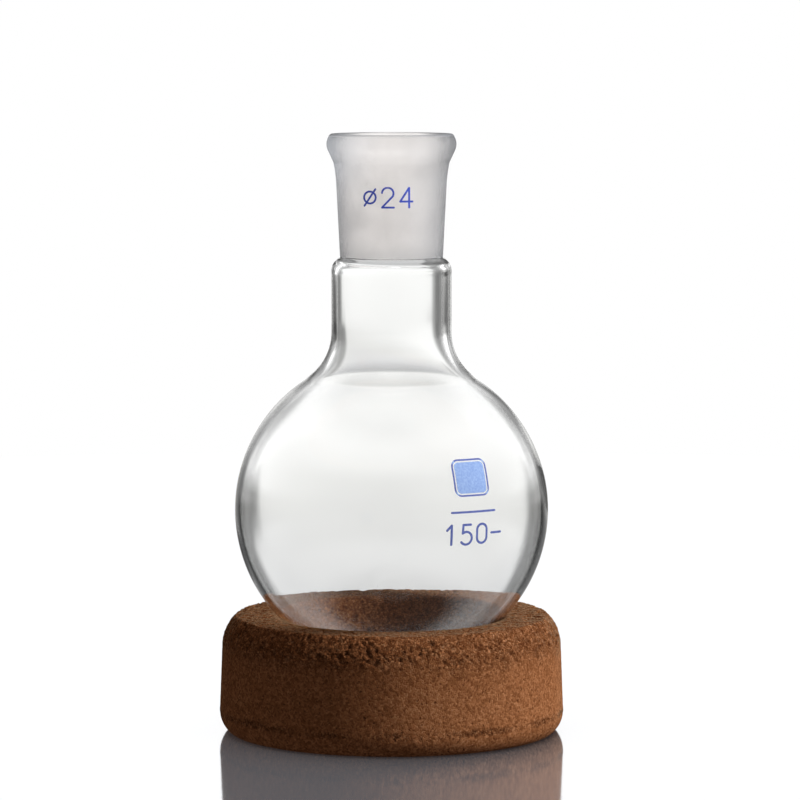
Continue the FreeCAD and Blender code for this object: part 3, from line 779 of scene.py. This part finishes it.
def make_floor():
    """A pale polished floor that glows, with a slightly blue painted contact shadow round the ring. It takes
    a mirror image at a low angle, and is plain white from above.
    """
    turns = [2 * math.pi * side / FLOOR_SIDES for side in range(FLOOR_SIDES)]
    rim = [(FLOOR_RADIUS * math.cos(turn), FLOOR_RADIUS * math.sin(turn), 0) for turn in turns]
    mesh = bpy.data.meshes.new("floor")
    mesh.from_pydata(rim, [], [tuple(range(FLOOR_SIDES))])
    floor = bpy.data.objects.new("floor", mesh)
    floor.location.z = -FLOOR_DROP
    bpy.context.scene.collection.objects.link(floor)
    material, shader = new_material("polished_floor")
    facing = shader.add("LayerWeight", None, Blend=0.5).outputs["Facing"]
    share = shader.curve(facing, ((0.55, 0.08), (0.73, 0.30), (0.79, 0.90), (0.83, 0.925), (1.0, 0.96)))
    mirror = shader.add("BsdfGlossy", None, Color=(0.66, 0.80, 1.0), Roughness=0.08)
    # Painted shadow: ambient occlusion darkens the floor's glow near the ring, a painted contact shadow.
    shade = shader.add("AmbientOcclusion", {"samples": 8}, Distance=0.035).outputs["AO"]
    path = shader.add("LightPath")
    level = shader.blend(1.0, shader.curve(shade, ((0.3, 0.22), (0.92, 1.0))), (1.05, 1.09, 1.20), "MULTIPLY")
    level = shader.blend(path.outputs["Is Diffuse Ray"], level, (0.050, 0.032, 0.024))
    glow = shader.add("Emission", None, Color=level, Strength=1.0)
    surface = shader.mix(share, glow.outputs[0], mirror.outputs[0])
    through = shader.add("BsdfTransparent")
    bent = shader.maths("MAXIMUM", path.outputs["Is Transmission Ray"], path.outputs["Is Singular Ray"])
    passing = shader.maths("MAXIMUM", bent, path.outputs["Is Shadow Ray"])
    passing = shader.maths("SUBTRACT", passing, path.outputs["Is Camera Ray"], clamp=True)
    out = shader.add("OutputMaterial")
    shader.feed(out.inputs["Surface"], shader.mix(passing, surface, through.outputs[0]))
    mesh.materials.append(material)


def make_world():
    """Bright-field light: a white wall behind the object, wider and brighter above than at its foot."""
    world = bpy.data.worlds.new("bright_field")
    bpy.context.scene.world = world
    world.use_nodes = True
    shader = Shader(world.node_tree)
    view = shader.add("SeparateXYZ", None, Vector=shader.add("TexCoord").outputs["Camera"])
    across, up, ahead = view.outputs
    aside = shader.maths("ABSOLUTE", shader.maths("ARCTAN2", across, ahead))
    aside = shader.maths("DIVIDE", aside, math.pi)
    rise = shader.maths("ADD", shader.maths("DIVIDE", shader.maths("ARCSINE", up), math.pi), 0.5)

    def round_view(*stops):
        """A tone against degrees to the side."""
        return shader.curve(aside, tuple((degrees / 180, tone) for degrees, tone in stops))

    def up_view(*stops):
        """A tone against degrees up."""
        return shader.curve(rise, tuple((0.5 + degrees / 180, tone) for degrees, tone in stops))

    low = round_view((0, 1.0), (6.2, 1.0), (7.8, 0.36), (9.5, 0.26), (13.5, 0.32), (17, 0.19), (22, 0.18),
                     (26, 0.09), (30, 0.03), (36, 0.01), (40, 0.14), (46, 0.40), (90, 0.45), (180, 0.12))
    level = round_view((0, 1.0), (8.8, 1.0), (10.6, 0.45), (13, 0.14), (16, 0.13), (20, 0.23), (25, 0.14),
                       (31, 0.16), (36, 0.32), (41, 0.58), (90, 0.50), (180, 0.15))
    high = round_view((0, 1.0), (7.6, 1.0), (9.5, 0.40), (12, 0.10), (16, 0.16), (20, 0.34), (26, 0.28),
                      (29, 0.24), (34, 1.0), (40, 1.6), (70, 1.3), (100, 0.7), (180, 0.25))
    seen = shader.blend(up_view((-0.5, 0.0), (1.5, 1.0)), low, level)
    seen = shader.blend(up_view((3.5, 0.0), (9.0, 1.0)), seen, high)
    core = up_view((-32, 0.40), (-14, 0.64), (-6, (0.69, 0.69, 0.70)), (-3, (0.83, 0.825, 0.82)),
                   (-1.2, (0.92, 0.915, 0.895)), (0.5, (1.03, 1.025, 1.01)), (2, (1.14, 1.135, 1.12)),
                   (9, 1.14))
    seen = shader.blend(1.0, seen, core, "MULTIPLY")
    seen = shader.blend(up_view((20, 0.0), (32, 1.0)), seen, up_view((45, 1.4), (62, 0.14), (90, 0.08)))
    milky = round_view((0, (1.40, 1.36, 1.34)), (13, (1.24, 1.20, 1.175)), (22, (0.92, 0.885, 0.86)),
                       (42, (0.38, 0.365, 0.355)), (75, 0.12), (180, 0.12))

    path = shader.add("LightPath")
    sharp, through = path.outputs["Is Singular Ray"], path.outputs["Is Transmission Ray"]
    colour = shader.blend(path.outputs["Is Diffuse Ray"], seen, (0.052, 0.034, 0.025))
    blurred = shader.maths("SUBTRACT", path.outputs["Is Glossy Ray"], sharp, clamp=True)
    mirrored = shader.maths("SUBTRACT", blurred, through, clamp=True)
    mirrored = shader.maths("MULTIPLY", mirrored, shader.curve(ahead, ((0.80, 0.0), (0.88, 1.0))))
    colour = shader.blend(shader.maths("MULTIPLY", blurred, through), colour, milky)
    colour = shader.blend(mirrored, colour, (1.54, 1.27, 1.02))
    colour = shader.blend(path.outputs["Is Camera Ray"], colour, WHITE)
    background = shader.add("Background", None, Color=colour, Strength=1.0)
    out = shader.add("OutputWorld")
    shader.feed(out.inputs["Surface"], background.outputs[0])


def add_softbox(name, place, target, width, height, power, colour):
    """A rectangular lamp that lights the cork and the prints but doesn't show in the glass or the floor."""
    light = bpy.data.lights.new(name, "AREA")
    light.shape = "RECTANGLE"
    light.size, light.size_y = width, height
    light.energy = power
    light.color = colour
    lamp = bpy.data.objects.new(name, light)
    lamp.location = place
    lamp.rotation_euler = (Vector(target) - Vector(place)).to_track_quat("-Z", "Y").to_euler()
    lamp.visible_glossy = False
    lamp.visible_transmission = False
    bpy.context.scene.collection.objects.link(lamp)
    return lamp


def make_lights(prints):
    """The softboxes, of which some are linked to the prints alone."""
    for softbox in SOFTBOXES:
        add_softbox(*softbox)
    lit = bpy.data.collections.new("prints")
    for piece in prints:
        lit.objects.link(piece)
    for softbox in PRINT_SOFTBOXES:
        lamp = add_softbox(*softbox)
        lamp.light_linking.receiver_collection = lit


def make_camera():
    """A long lens at the front, a little above the object and tilted down to it."""
    data = bpy.data.cameras.new("camera")
    data.sensor_width = SENSOR
    data.lens = LENS
    data.clip_start, data.clip_end = 0.05, 20.0
    camera = bpy.data.objects.new("camera", data)
    camera.location = CAMERA_PLACE
    camera.rotation_euler = (math.radians(90 - CAMERA_DROP), 0, 0)
    bpy.context.scene.collection.objects.link(camera)
    bpy.context.scene.camera = camera


# ---------------------------------------------------------------- scene

def main():
    """The pieces, each on its body and in its material slot, then their surroundings."""
    clear = clear_glass()
    flank = ground_glass("etched_glass", 0.22, 0.06, (0.975, 0.97, 0.965))
    ground = ground_glass("ground_glass", 0.55, 0.30, (0.955, 0.95, 0.945))
    glass = make_glass([clear, flank, ground])
    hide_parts("bulb_and_neck", "ground_socket")
    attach(glass, "flask")

    ring = make_cork_ring(cork())
    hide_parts("cork_ring")
    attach(ring, "stand")

    prints = make_prints()
    make_floor()
    make_world()
    make_lights(prints)
    make_camera()
    scene = bpy.context.scene
    scene.view_settings.view_transform = "Standard"
    scene.cycles.max_bounces = 24
    scene.cycles.transmission_bounces = 20
    scene.cycles.glossy_bounces = 10
    scene.cycles.transparent_max_bounces = 24


main()
